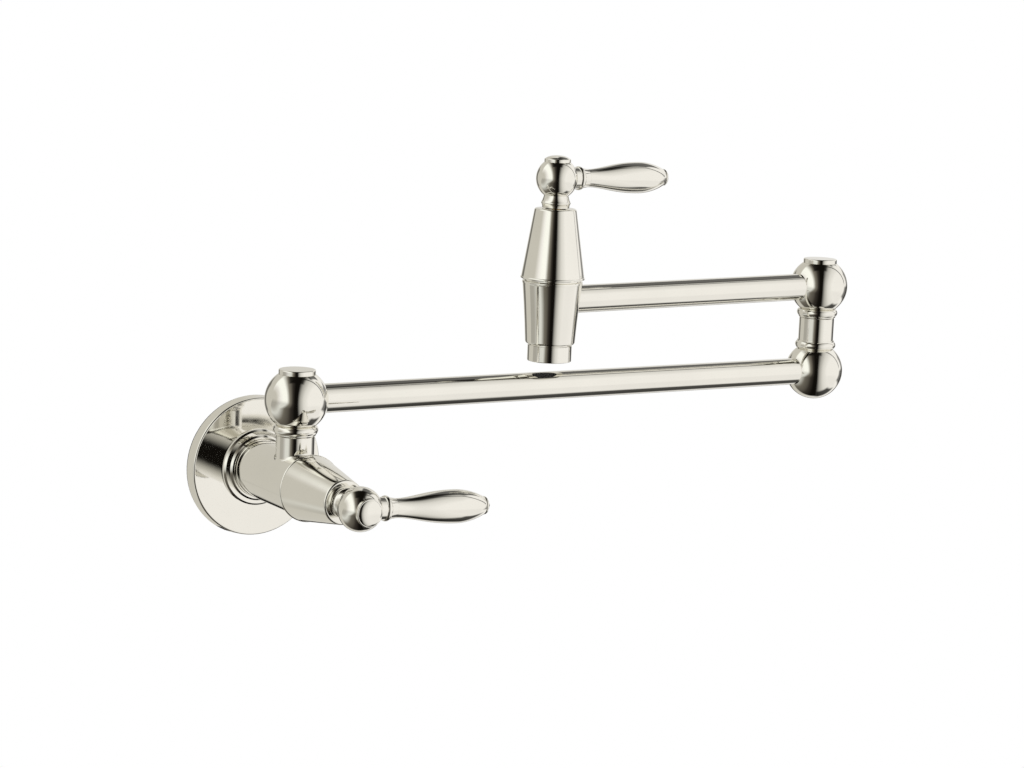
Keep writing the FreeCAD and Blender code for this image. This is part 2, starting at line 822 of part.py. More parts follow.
def handle_screw():
    head_top = screw_floor + handle_screw_head_t
    screw = rod(handle_screw_r, screw_floor - handle_screw_length, screw_floor)
    screw = screw.fuse(rod(handle_screw_head_r, screw_floor, head_top))
    return screw.cut(hexagon(handle_screw_hex_flats, head_top - handle_screw_hex_depth, head_top))


def handle_cap():
    plug_r = screw_well_r - joint_clearance
    top = cap_seat + handle_cap_t
    side_top = cap_seat + handle_cap_side
    rim = handle_cap_r - handle_cap_edge
    corner = handle_cap_edge * quarter_share
    return turned((0, cap_seat - handle_cap_plug), [
        (plug_r, cap_seat - handle_cap_plug),
        (plug_r, cap_seat),
        (handle_cap_r, cap_seat),
        (handle_cap_r, side_top - handle_cap_edge),
        ("arc", (handle_cap_r - corner, side_top - corner), (rim, side_top)),
        dome(rim, side_top, top),
    ])


# ---- lever parts, made along +Z from the ball centre and laid along +X ----
def lever_ferrule():
    bore = lever_stud_r + joint_clearance
    flange_end = ferrule_flange + ferrule_flange_t
    flange_edge_r = ferrule_flange_r - ferrule_edge
    ferrule = turned((bore, lever_spot), [
        (ferrule_base_r, lever_spot),
        (ferrule_base_r, ferrule_flange),
        (flange_edge_r, ferrule_flange),
        (ferrule_flange_r, ferrule_flange + ferrule_edge),
        (ferrule_flange_r, flange_end - ferrule_edge),
        (flange_edge_r, flange_end),
        ("arc", (ferrule_neck_r, ferrule_neck), (ferrule_end_r, ferrule_end)),
        (bore, ferrule_end),
    ])
    return along_x(ferrule, hub_ball)


def lever():
    reach = grip_widest - ferrule_end
    swelling = grip_widest_r - grip_neck_r
    taper = grip_end - grip_widest
    way, lost = grip_taper
    curve = [(grip_neck_r + gained * swelling, ferrule_end + share * reach) for share, gained in grip_swell]
    curve.append((grip_widest_r, grip_widest))
    curve.append((grip_widest_r - lost * (grip_widest_r - grip_end_r), grip_widest + way * taper))
    curve.append((grip_end_r, grip_end))
    grip = turned((0, lever_stud_start), [
        (lever_stud_r, lever_stud_start),
        (lever_stud_r, ferrule_end),
        (grip_neck_r, ferrule_end),
        ("curve", curve),
        (0, grip_end),
    ])
    hole = rod(tip_stud_r + joint_clearance, grip_end - tip_stud_length - 2 * joint_clearance, grip_end)
    return along_x(grip.cut(hole), hub_ball)


def lever_tip():
    disc_end = grip_end + tip_disc_t
    bead_centre = disc_end + sphere_half_chord(tip_bead_r, tip_bead_neck_r)
    half = tip_disc_t / 2
    tip = turned((0, grip_end - tip_stud_length), [
        (tip_stud_r, grip_end - tip_stud_length),
        (tip_stud_r, grip_end),
        (tip_disc_r - tip_disc_round, grip_end),
        ("arc", (tip_disc_r, grip_end + half), (tip_disc_r - tip_disc_round, disc_end)),
        (tip_bead_neck_r, disc_end),
        ("arc", (tip_bead_r, bead_centre), (0, bead_centre + tip_bead_r)),
    ])
    return along_x(tip, hub_ball)


# ---- all nodes ----
fixed_valve_parts = {
    "cartridge_body": cartridge_body,
    "fixed_disc": fixed_disc,
    "seat_seal": seat_seal,
    "cartridge_o_ring": cartridge_o_ring_seal,
    "bonnet": bonnet,
}
handle_parts = {
    "cartridge_stem": cartridge_stem,
    "moving_disc": moving_disc,
    "stem_o_ring": stem_o_ring_seal,
    "handle_hub": handle_hub,
    "handle_screw": handle_screw,
    "handle_cap": handle_cap,
    "lever_ferrule": lever_ferrule,
    "lever": lever,
    "lever_tip": lever_tip,
}
swivel_parts = {
    "stem": swivel_stem,
    "o_rings": swivel_o_rings,
    "thrust_washer": thrust_washer,
    "retaining_washer": retaining_washer,
    "nut": retaining_nut,
}

nodes = {
    "wall_gasket": on_wall(wall_gasket()),
    "wall_bracket": on_wall(wall_bracket()),
    "body_lock_screws": on_wall(body_lock_screws()),
    "wall_flange": on_wall(wall_flange()),
    "flange_o_ring": on_wall(flange_o_ring()),
    "valve_body": on_wall(valve_body()),
    "shoulder_ball": at_shoulder(shoulder_ball()),
    "shoulder_cap": at_shoulder(swivel_cap()),
    "lower_tube": at_shoulder(lower_tube()),
    "elbow_lower_ball": at_elbow_low(elbow_lower_ball()),
    "elbow_upper_ball": at_elbow_high(elbow_upper_ball()),
    "elbow_cap": at_elbow_high(swivel_cap()),
    "upper_tube": at_spout(upper_tube()),
    "spout_body": at_spout(spout_body()),
    "nozzle_ring": at_spout(nozzle_ring()),
    "aerator_insert": at_spout(aerator_insert()),
    "aerator_washer": at_spout(aerator_washer()),
}
for name, make in fixed_valve_parts.items():
    nodes["wall_" + name] = on_wall_valve(make())
    nodes["spout_" + name] = on_spout_valve(make())
for name, make in handle_parts.items():
    nodes["wall_" + name] = on_wall_handle(make())
    nodes["spout_" + name] = on_spout_handle(make())
for name, make in swivel_parts.items():
    nodes["shoulder_" + name] = at_shoulder(make())
    nodes["elbow_" + name] = at_elbow_high(make())

os.makedirs("parts", exist_ok=True)
for name, shape in nodes.items():
    shape.exportStep("parts/" + name + ".step")
    solids = len(shape.Solids)
    print(name, "solids", solids, "volume", round(shape.Volume, 1), "valid", shape.isValid())
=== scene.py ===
# %% [markdown]
# # A folding pot filler in polished nickel
# The object is a wall tap with two swinging arms. Nearly all of it is turned on a lathe and
# polished to a mirror, so this lesson is about two things: clean turned meshes, and a studio
# that is worth reflecting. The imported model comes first. It fixes every place and size.

# %% Load the frame
import json
import math

import bmesh
import bpy
from mathutils import Matrix, Vector
from mathutils.geometry import interpolate_bezier


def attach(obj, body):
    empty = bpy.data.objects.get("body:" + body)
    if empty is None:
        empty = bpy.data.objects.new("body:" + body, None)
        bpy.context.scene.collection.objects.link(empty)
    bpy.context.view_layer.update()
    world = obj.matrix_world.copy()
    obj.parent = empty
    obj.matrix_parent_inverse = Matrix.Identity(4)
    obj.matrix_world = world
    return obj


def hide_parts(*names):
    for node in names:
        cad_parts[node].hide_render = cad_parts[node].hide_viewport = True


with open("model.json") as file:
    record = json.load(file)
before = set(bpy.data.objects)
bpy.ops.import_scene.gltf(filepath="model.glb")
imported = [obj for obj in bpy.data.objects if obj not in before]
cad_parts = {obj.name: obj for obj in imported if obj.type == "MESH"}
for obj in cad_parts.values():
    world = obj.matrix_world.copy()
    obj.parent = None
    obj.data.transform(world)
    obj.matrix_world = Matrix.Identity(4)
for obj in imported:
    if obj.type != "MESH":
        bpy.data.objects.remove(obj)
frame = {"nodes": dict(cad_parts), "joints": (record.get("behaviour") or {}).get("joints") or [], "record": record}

MM = 0.001
nodes = frame["nodes"]
joints = {joint["name"]: joint for joint in frame["joints"]}
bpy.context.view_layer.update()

# %% [markdown]
# ## The camera
# The photograph was taken from the front left, a little above the tap, with a long lens.
# The place, the turn and the lens below were solved from the outlines of the balls, the arms
# and the flange, so the render can be laid over the photograph. A camera is set by its own
# three axes: image right, image up, and backwards out of the scene.

# %% Camera
CAMERA_AZIMUTH = math.radians(32.04)
CAMERA_ELEVATION = math.radians(9.04)
CAMERA_ROLL = math.radians(2.36)
CAMERA_PLACE = Vector((-613.98, -1253.40, 272.30)) * MM
LENS_PIXELS = 2521.2
IMAGE_WIDTH = 1024
SENSOR_WIDTH = 36.0

forward = Vector((math.sin(CAMERA_AZIMUTH) * math.cos(CAMERA_ELEVATION),
                  math.cos(CAMERA_AZIMUTH) * math.cos(CAMERA_ELEVATION),
                  -math.sin(CAMERA_ELEVATION)))
level_right = Vector((math.cos(CAMERA_AZIMUTH), -math.sin(CAMERA_AZIMUTH), 0))
level_up = level_right.cross(forward)
image_right = level_right * math.cos(CAMERA_ROLL) + level_up * math.sin(CAMERA_ROLL)
image_up = level_up * math.cos(CAMERA_ROLL) - level_right * math.sin(CAMERA_ROLL)

camera_data = bpy.data.cameras.new("photo_camera")
camera_data.sensor_fit = "HORIZONTAL"
camera_data.sensor_width = SENSOR_WIDTH
camera_data.lens = LENS_PIXELS / IMAGE_WIDTH * SENSOR_WIDTH
camera_data.clip_end = 50
camera = bpy.data.objects.new("photo_camera", camera_data)
bpy.context.scene.collection.objects.link(camera)
turn = Matrix((image_right, image_up, -forward)).transposed().to_4x4()
camera.matrix_world = Matrix.Translation(CAMERA_PLACE) @ turn
bpy.context.scene.camera = camera
print("lens", round(camera_data.lens, 2), "mm")

# %% [markdown]
# ## Small helpers for node trees
# A material or a world is a chain of nodes. Two helpers keep the chains short: one adds a node
# and fills its settings and sockets, and one adds a math node.

# %% Node helpers


def add_node(tree, kind, inputs=None, **settings):
    node = tree.nodes.new(kind)
    for name, value in settings.items():
        setattr(node, name, value)
    for name, value in (inputs or {}).items():
        if isinstance(value, bpy.types.NodeSocket):
            tree.links.new(value, node.inputs[name])
        else:
            node.inputs[name].default_value = value
    return node


def add_math(tree, operation, first, second=0.0):
    node = add_node(tree, "ShaderNodeMath", {0: first, 1: second}, operation=operation)
    return node.outputs[0]


def add_ramp(tree, value, stops):
    """A colour ramp: stops are (place from 0 to 1, grey or colour)."""
    node = add_node(tree, "ShaderNodeValToRGB", {"Fac": value})
    ramp = node.color_ramp
    while len(ramp.elements) < len(stops):
        ramp.elements.new(0.5)
    for element, (place, colour) in zip(ramp.elements, stops):
        element.position = place
        element.color = (*colour, 1) if isinstance(colour, tuple) else (colour, colour, colour, 1)
    return node.outputs["Color"]


# %% [markdown]
# ## The studio
# Mirror metal has no look of its own: it shows the room. The photographer used a tent of soft
# white light with a narrow dark gap where the camera looks in, a warm grey side on the left,
# and a big white side on the right. The gap runs up over the tap and down below it, so the
# world is painted like a globe that lies on its side, with its poles at the left and the right
# of the picture. "Across" is the angle from the dark gap towards a pole, and "over" is the angle
# from the camera's side up over the top. The camera itself sees plain white behind the tap.

# %% Directions of the studio
LEFT_GREY = (0.63, 0.61, 0.55)
TENT_WHITE = (1.12, 1.13, 1.07)
TENT_IVORY = (1.00, 0.98, 0.95)
BACK_GREY = (0.80, 0.785, 0.75)
GAP_BLACK = (0.006, 0.005, 0.004)
GAP_SHADE = (0.04, 0.034, 0.028)
GAP_BROWN = (0.25, 0.23, 0.19)
GAP_GREY = (0.46, 0.45, 0.42)
DEGREE = math.pi / 180


def on_globe(degrees):
    """Place on a colour ramp that runs from -180 to 180 degrees."""
    return 0.5 + degrees / 360


def ramp_place(tree, angle):
    """The same place for an angle in radians that a node gives."""
    scaled = add_node(tree, "ShaderNodeMath", {0: angle, 1: 1 / math.tau, 2: 0.5},
                      operation="MULTIPLY_ADD")
    return scaled.outputs[0]


def blend(tree, share, under, over):
    mixed = add_node(tree, "ShaderNodeMix", data_type="RGBA")
    sockets = [s for s in mixed.inputs if s.type == "RGBA"]
    tree.links.new(share, mixed.inputs["Factor"])
    for socket, colour in zip(sockets, (under, over)):
        if isinstance(colour, tuple):
            socket.default_value = (*colour, 1)
        else:
            tree.links.new(colour, socket)
    return [s for s in mixed.outputs if s.type == "RGBA"][0]


world = bpy.data.worlds.new("studio_tent")
world.use_nodes = True
bpy.context.scene.world = world
tree = world.node_tree
tree.nodes.clear()
direction = add_node(tree, "ShaderNodeTexCoord").outputs["Generated"]
spun = add_node(tree, "ShaderNodeVectorRotate", {"Vector": direction, "Angle": CAMERA_AZIMUTH},
                rotation_type="Z_AXIS").outputs["Vector"]
axes = add_node(tree, "ShaderNodeSeparateXYZ", {"Vector": spun}).outputs
toward = add_math(tree, "MULTIPLY", axes["Y"], -1.0)
across = add_math(tree, "ARCSINE", axes["X"])
over = add_math(tree, "ARCTAN2", axes["Z"], toward)
height = axes["Z"]
sinks = add_math(tree, "MAXIMUM", add_math(tree, "MULTIPLY", height, -1.0), 0.0)
rises = add_math(tree, "MAXIMUM", height, 0.0)
on_left = add_math(tree, "LESS_THAN", across, 0.0)
print("world directions:", len(tree.nodes), "nodes")

# %% [markdown]
# The gap is narrow at the height of the camera. It opens upwards like a V, and below it spreads
# to the left only, where the tent's side is also dimmer. So the angle that is looked up on the
# gap's ramp is divided by a width that grows with the height or depth. A second ramp paints the
# half behind the tap, grey on the left and pale on the right. The front is dimmed a little low
# down on both sides, where the tent meets the floor.

# %% Paint of the studio
OPENS_ABOVE, SPREADS_BELOW, LOWEST_SPREAD = 0.4, 6.0, 0.4
LOW_LEFT_DIMMED, LOW_RIGHT_DIMMED = 0.3, 0.07


def band(value, low, high, soft):
    """1 where the value is from low to high, fading to 0 over a soft edge on each side."""
    rise = add_node(tree, "ShaderNodeMapRange", {"Value": value, "From Min": low - soft,
                                                 "From Max": low, "To Min": 0.0, "To Max": 1.0})
    fall = add_node(tree, "ShaderNodeMapRange", {"Value": value, "From Min": high,
                                                 "From Max": high + soft, "To Min": 1.0,
                                                 "To Max": 0.0})
    return add_math(tree, "MULTIPLY", rise.outputs["Result"], fall.outputs["Result"])


def arc(angle, low, high, soft):
    """The same band for an angle in radians, with its limits in degrees."""
    return band(angle, low * DEGREE, high * DEGREE, soft * DEGREE)


def both(first, second):
    return add_math(tree, "MULTIPLY", first, second)


above = both(both(rises, rises), OPENS_ABOVE)
low = add_math(tree, "MINIMUM", sinks, LOWEST_SPREAD)
below = both(both(both(low, low), SPREADS_BELOW), on_left)
width = add_math(tree, "ADD", add_math(tree, "ADD", above, below), 1.0)
from_gap = add_math(tree, "DIVIDE", across, width)
front_light = add_ramp(tree, ramp_place(tree, from_gap), [
    (on_globe(-90), TENT_IVORY), (on_globe(-54), TENT_IVORY),
    (on_globe(-42), TENT_WHITE), (on_globe(-29), TENT_WHITE), (on_globe(-19), GAP_BROWN),
    (on_globe(-8), GAP_SHADE), (on_globe(-1), GAP_BLACK), (on_globe(9), GAP_BLACK),
    (on_globe(18), GAP_GREY), (on_globe(30), BACK_GREY), (on_globe(48), TENT_IVORY),
    (on_globe(90), TENT_IVORY)])
left_side = arc(across, -90, -72, 18)
front_light = blend(tree, left_side, front_light, LEFT_GREY)
back_light = add_ramp(tree, ramp_place(tree, across), [
    (on_globe(-90), LEFT_GREY), (on_globe(-12), LEFT_GREY), (on_globe(6), BACK_GREY),
    (on_globe(24), TENT_IVORY), (on_globe(90), TENT_IVORY)])
is_front = add_ramp(tree, ramp_place(tree, over), [
    (on_globe(-128), 0.0), (on_globe(-120), 1.0), (on_globe(116), 1.0), (on_globe(124), 0.0)])
tent = blend(tree, is_front, back_light, front_light)
low_left = both(band(height, -1.0, -0.12, 0.17), arc(across, -90, -30, 14))
low_right = both(band(height, -1.0, -0.30, 0.14), arc(across, 52, 70, 16))
for low_side, dimmed in ((low_left, LOW_LEFT_DIMMED), (low_right, LOW_RIGHT_DIMMED)):
    tent = blend(tree, both(both(low_side, is_front), dimmed), tent, GAP_BLACK)
print("painted halves:", len(tree.nodes), "nodes")

# %% [markdown]
# Dark lines lie over the paint where the cloth of the tent has an open seam or a flag stands.
# The tubes show one dark band above and a wider one below, the balls show the edge of the right
# side as a thin curve and an open patch in the ceiling as a bar across the top of the gap, and
# the foot of the backdrop is a level line low down behind the tap. Flags behind the tap draw the
# dark edges of the turned pieces. Each seam has a depth, from 0 for none to 1 for black.

# %% Seams and flags
PANEL_EDGE = (0.455, -0.887, -0.08)
top_band = both(arc(over, 114, 146, 4), arc(across, 4, 30, 4))
low_band = both(arc(over, -126, -97, 12), arc(across, 12, 38, 6))
flags = both(both(band(toward, -1.1, -0.62, 0.14), band(height, -0.33, 0.22, 0.06)),
             arc(add_math(tree, "ABSOLUTE", across), 27, 42, 6))
low_flag = both(both(band(toward, -1.1, -0.42, 0.22), band(height, -0.36, -0.09, 0.07)),
                arc(across, 30, 56, 10))
ceiling = both(arc(over, 74, 112, 6), arc(across, -18, 18, 8))
off_edge = add_node(tree, "ShaderNodeVectorMath", {0: spun, 1: PANEL_EDGE}, operation="DOT_PRODUCT")
panel_line = both(both(band(off_edge.outputs["Value"], -0.018, 0.018, 0.03),
                       band(height, 0.1, 1.0, 0.1)), band(axes["X"], -0.2, 1.0, 0.1))
backdrop_foot = both(band(height, -0.44, -0.34, 0.03), band(toward, -1.1, -0.80, 0.06))
for seam, depth in ((top_band, 0.84), (low_band, 0.92), (flags, 0.72), (low_flag, 0.8),
                    (ceiling, 0.88), (panel_line, 0.9), (backdrop_foot, 1.0)):
    tent = blend(tree, both(seam, depth), tent, GAP_BLACK)
sees = add_node(tree, "ShaderNodeLightPath").outputs["Is Camera Ray"]
reflected = add_node(tree, "ShaderNodeBackground", {"Color": tent, "Strength": 1.0})
plain = add_node(tree, "ShaderNodeBackground", {"Color": (1, 1, 1, 1), "Strength": 1.0})
either = add_node(tree, "ShaderNodeMixShader", {0: sees, 1: reflected.outputs[0],
                                                2: plain.outputs[0]})
add_node(tree, "ShaderNodeOutputWorld", {"Surface": either.outputs[0]})
bpy.context.scene.view_settings.view_transform = "Standard"
print("world nodes:", len(tree.nodes))

# %% [markdown]
# ## Materials
# Polished nickel is a metal with a warm white colour and a very low roughness. Real polish is
# never perfect: fine wiping marks and a faint unevenness soften the reflections a little. So
# the roughness comes from noise, and a second, larger noise tilts the surface by a hair.

# %% Nickel
NICKEL = (0.87, 0.855, 0.80)
WIPE_SCALE = 260.0
WIPE_ROUGHNESS = (0.035, 0.075)
WAVE_SCALE = 42.0
WAVE_BUMP = (0.05, 0.0004)
DULLEST_SHADE = 0.97


def new_material(name):
    made = bpy.data.materials.new(name)
    made.use_nodes = True
    made.node_tree.nodes.clear()
    shader = add_node(made.node_tree, "ShaderNodeBsdfPrincipled")
    add_node(made.node_tree, "ShaderNodeOutputMaterial", {"Surface": shader.outputs[0]})
    place = add_node(made.node_tree, "ShaderNodeTexCoord").outputs["Object"]
    return made, made.node_tree, shader, place


def tinted_noise(tree, place, scale, dark, light, detail=3.0):
    """Noise that wanders between two colours."""
    noise = add_node(tree, "ShaderNodeTexNoise",
                     {"Vector": place, "Scale": scale, "Detail": detail})
    return add_ramp(tree, noise.outputs["Fac"], [(0.3, dark), (0.7, light)])


def noise_between(tree, place, scale, low, high, detail=3.0):
    """Noise that wanders between two numbers."""
    noise = add_node(tree, "ShaderNodeTexNoise",
                     {"Vector": place, "Scale": scale, "Detail": detail})
    spread = add_node(tree, "ShaderNodeMapRange", {"Value": noise.outputs["Fac"], "From Min": 0.3,
                                                   "From Max": 0.7, "To Min": low, "To Max": high})
    return spread.outputs["Result"]


def bump_from_noise(tree, place, scale, strength, distance):
    noise = add_node(tree, "ShaderNodeTexNoise", {"Vector": place, "Scale": scale, "Detail": 2.0})
    bump = add_node(tree, "ShaderNodeBump", {"Height": noise.outputs["Fac"], "Strength": strength,
                                             "Distance": distance})
    return bump.outputs["Normal"]


def polished_nickel():
    made, tree, shader, place = new_material("polished_nickel")
    shade = tuple(DULLEST_SHADE * c for c in NICKEL)
    colour = tinted_noise(tree, place, WAVE_SCALE, shade, NICKEL)
    wiped = noise_between(tree, place, WIPE_SCALE, *WIPE_ROUGHNESS)
    wavy = bump_from_noise(tree, place, WAVE_SCALE, *WAVE_BUMP)
    tree.links.new(colour, shader.inputs["Base Color"])
    tree.links.new(wiped, shader.inputs["Roughness"])
    tree.links.new(wavy, shader.inputs["Normal"])
    shader.inputs["Metallic"].default_value = 1.0
    return made


nickel = polished_nickel()
print("material:", nickel.name)

# %% [markdown]
# ## The other materials
# Behind the nickel are the pieces that do the work. The stems and cartridges are turned brass
# with fine tool marks, the seals are matt black rubber, the bracket, washers and screws are
# zinc-bright steel, the valve discs are lapped ceramic, and the thrust washers are white
# plastic. Each finish is one small recipe: a colour that wanders a little, a roughness from
# noise, and a bump at the scale of its tool marks or grain.

# %% Recipes for the inner pieces


def grained(name, dark, light, scale, roughness, bump, metallic=0.0, stretch=(1, 1, 1)):
    """A finish whose colour, roughness and bump come from noise, stretched along its tool marks."""
    made, tree, shader, place = new_material(name)
    place = add_node(tree, "ShaderNodeMapping", {"Vector": place, "Scale": stretch}).outputs[0]
    tree.links.new(tinted_noise(tree, place, scale, dark, light), shader.inputs["Base Color"])
    tree.links.new(noise_between(tree, place, 2 * scale, *roughness), shader.inputs["Roughness"])
    tree.links.new(bump_from_noise(tree, place, 3 * scale, *bump), shader.inputs["Normal"])
    shader.inputs["Metallic"].default_value = metallic
    return made


brass = grained("turned_brass", (0.50, 0.33, 0.12), (0.66, 0.46, 0.19), 180,
                (0.20, 0.36), (0.25, 0.0002), metallic=1.0, stretch=(1, 1, 6))
rubber = grained("seal_rubber", (0.012, 0.012, 0.014), (0.03, 0.03, 0.032), 420,
                 (0.52, 0.78), (0.35, 0.0003))
zinc_steel = grained("zinc_bright_steel", (0.48, 0.48, 0.47), (0.64, 0.63, 0.61), 150,
                     (0.22, 0.42), (0.2, 0.0002), metallic=1.0, stretch=(1, 5, 1))
ceramic = grained("lapped_ceramic", (0.80, 0.79, 0.75), (0.88, 0.87, 0.84), 300,
                  (0.08, 0.16), (0.05, 0.0001))
white_plastic = grained("bearing_plastic", (0.74, 0.74, 0.71), (0.84, 0.84, 0.82), 220,
                        (0.38, 0.52), (0.12, 0.0002))
dark_plastic = grained("aerator_plastic", (0.025, 0.025, 0.028), (0.05, 0.05, 0.055), 350,
                       (0.36, 0.55), (0.2, 0.0002))
finish_of_slot = {"brass": brass, "seal_rubber": rubber, "stainless_steel": zinc_steel,
                  "disc_ceramic": ceramic, "bearing_plastic": white_plastic,
                  "aerator_plastic": dark_plastic}
print("finishes:", sorted(finish_of_slot))

# %% [markdown]
# ## The pen
# Every turned piece starts as half of its cross-section. A pen draws that outline in the XZ
# plane with bmesh operators: a line extrudes the last vertex, an arc spins it about a centre,
# a bow is an arc through a middle point, and a curve follows a Bezier. A corner may ask for a
# rounding, which the bevel operator makes once the outline is drawn. A small one is a flat
# chamfer, as a turner breaks an edge, and it catches the light as one bright line. An outline that
# starts and ends on the axis stays open there, because the lathe closes it. Sizes are in
# millimetres until the piece is placed.

# %% Pen
TURN_STEPS = 144
ROUND_STEPS = 4
CHAMFER_SIZE = 0.3
ARC_STEP = 4.0
CURVE_POINTS = 40
SHARP_ANGLE = math.radians(32)


def pen_line(bm, pen, end):
    moved = bmesh.ops.extrude_vert_indiv(bm, verts=[pen])["verts"][0]
    moved.co = end
    return moved


def pen_arc(bm, pen, centre_r, centre_z, degrees):
    steps = max(3, round(abs(degrees) / ARC_STEP))
    swung = bmesh.ops.spin(bm, geom=[pen], cent=(centre_r, 0, centre_z), axis=(0, 1, 0),
                           angle=math.radians(degrees), steps=steps, use_merge=False)
    return [g for g in swung["geom_last"] if isinstance(g, bmesh.types.BMVert)][0]


def pen_bow(bm, pen, middle, end):
    """Arc from the pen through a middle point to an end point, both (r, z)."""
    a, b, c = Vector((pen.co.x, pen.co.z)), Vector(middle), Vector(end)
    ab, ac = b - a, c - a
    twice_area = 2 * (ab.x * ac.y - ab.y * ac.x)
    centre = a + Vector((ac.y * ab.dot(ab) - ab.y * ac.dot(ac),
                         ab.x * ac.dot(ac) - ac.x * ab.dot(ab))) / twice_area
    turns = [math.degrees(math.atan2(*(point - centre))) for point in (a, b, c)]
    to_middle, to_end = (turns[1] - turns[0]) % 360, (turns[2] - turns[0]) % 360
    sweep = to_end if to_middle < to_end else to_end - 360
    return pen_arc(bm, pen, centre.x, centre.y, sweep)


def pen_curve(bm, pen, handle_1, handle_2, end):
    knots = [Vector((r, 0, z)) for r, z in (handle_1, handle_2, end)]
    for point in interpolate_bezier(pen.co, *knots, CURVE_POINTS)[1:]:
        pen = pen_line(bm, pen, point)
    return pen


def draw_outline(start, strokes):
    """Outline in the XZ plane. A stroke is ("line", r, z), ("line", r, z, rounding),
    ("arc", centre r, centre z, degrees), ("bow", middle, end) or
    ("curve", first handle, second handle, end)."""
    bm = bmesh.new()
    first = bm.verts.new((start[0], 0, start[1]))
    rounded = [(first, start[2])] if len(start) > 2 else []
    pen = first
    other_strokes = {"arc": pen_arc, "bow": pen_bow, "curve": pen_curve}
    for kind, *values in strokes:
        if kind == "line":
            pen = pen_line(bm, pen, Vector((values[0], 0, values[1])))
            if len(values) > 2:
                rounded.append((pen, values[2]))
        else:
            pen = other_strokes[kind](bm, pen, *values)
    if max(first.co.x, pen.co.x) > 0.001:
        bm.edges.new((pen, first))
    for corner, size in rounded:
        bmesh.ops.bevel(bm, geom=[corner], affect="VERTICES", offset=size, offset_type="OFFSET",
                        segments=1 if size <= CHAMFER_SIZE else ROUND_STEPS, profile=0.5,
                        material=-1, clamp_overlap=True)
    return bm


# %% [markdown]
# The lathe spins the outline once round the Z axis. The last step meets the first, so the spin
# merges them. Points on the axis collapse into one pole, and then the normals are recalculated,
# because a spin can turn a shape inside out. Shading is smooth between sharp edges, and a
# weighted normal keeps the long straight faces straight, which a mirror finish needs.

# %% Lathe


def on_lathe(bm, steps=TURN_STEPS):
    """Spins the outline into a closed solid with its faces outwards."""
    bmesh.ops.spin(bm, geom=bm.verts[:] + bm.edges[:], cent=(0, 0, 0), axis=(0, 0, 1),
                   angle=math.tau, steps=steps, use_merge=True)
    bmesh.ops.remove_doubles(bm, verts=bm.verts[:], dist=0.0005)
    bmesh.ops.dissolve_degenerate(bm, edges=bm.edges[:], dist=0.0002)
    bmesh.ops.recalc_face_normals(bm, faces=bm.faces[:])
    return bm


def finish_piece(bm, name, place, body, *replaced):
    """Makes the mesh a nickel object in metres and in its place, riding on its body."""
    open_edges = sum(1 for edge in bm.edges if not edge.is_manifold)
    bmesh.ops.transform(bm, matrix=place @ Matrix.Scale(MM, 4), verts=bm.verts[:])
    mesh = bpy.data.meshes.new(name)
    bm.to_mesh(mesh)
    bm.free()
    mesh.shade_smooth()
    mesh.set_sharp_from_angle(angle=SHARP_ANGLE)
    mesh.materials.append(nickel)
    piece = bpy.data.objects.new(name, mesh)
    bpy.context.scene.collection.objects.link(piece)
    weighted = piece.modifiers.new("long faces stay straight", "WEIGHTED_NORMAL")
    weighted.keep_sharp = True
    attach(piece, body)
    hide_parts(*replaced)
    print(f"{name}: {len(mesh.polygons)} faces, {open_edges} open edges, on {body}")
    return piece


# %% [markdown]
# ## Places
# The joints of the frame say where the swivels and valves are. Each place is a matrix that
# takes a piece from its lathe, where it turns about Z, to the tap. The upper arm falls a
# little from the elbow to the spout, the wall lever hangs a little, and the spout lever leans
# towards the wall, as they do in the photograph.

# %% Places
WALL_SEAM = 72.3
HUB_BALL = 57.0
SPOUT_SEAM = 12.5
WALL_DROOP = 2.7
SPOUT_LEAN = 2.0
ARM_FALL = 2.8

shoulder = Vector(joints["shoulder_swing"]["pos_m"])
elbow_high = Vector(joints["elbow_swing"]["pos_m"])
spout_ball = Vector(joints["spout_lever_turn"]["pos_m"])
elbow_low = Vector((elbow_high.x, elbow_high.y, shoulder.z))
spout_centre = spout_ball - Vector((0, 0, (HUB_BALL + SPOUT_SEAM) * MM))
upper_arm_length = (elbow_high.x - spout_ball.x) / MM
arm_tilt = math.atan2(ARM_FALL, upper_arm_length)

off_wall = Matrix.Rotation(math.radians(90), 4, "X")
lay_along_x = Matrix.Rotation(math.radians(90), 4, "Y")
on_wall_valve = off_wall @ Matrix.Translation((0, 0, WALL_SEAM * MM))
on_wall_handle = Matrix.Rotation(math.radians(WALL_DROOP), 4, "Y") @ on_wall_valve
on_spout = Matrix.Translation(spout_centre)
on_spout_valve = on_spout @ Matrix.Translation((0, 0, SPOUT_SEAM * MM))
on_spout_handle = on_spout_valve @ Matrix.Rotation(math.radians(SPOUT_LEAN), 4, "Z")
at_shoulder = Matrix.Translation(shoulder)
at_elbow_low = Matrix.Translation(elbow_low)
at_elbow_high = Matrix.Translation(elbow_high)
along_upper_arm = on_spout @ Matrix.Rotation(-arm_tilt, 4, "Y") @ lay_along_x
print("shoulder", shoulder, "elbow", elbow_high, "spout", spout_ball)

# %% [markdown]
# ## Wall flange
# A shallow round cover with a flat polished face, a rounded rim and two stepped rings round the
# barrel. It is open behind. The cover's outline goes up the rim and across the face, and comes
# back inside, so that it keeps its real wall. The rings are an outline of their own, because
# the photograph's barrel mirrors them and nothing else of the flange: it is a plain even grey
# further out. So glossy rays pass the flat cover by, and what lies behind it, but meet the rings.

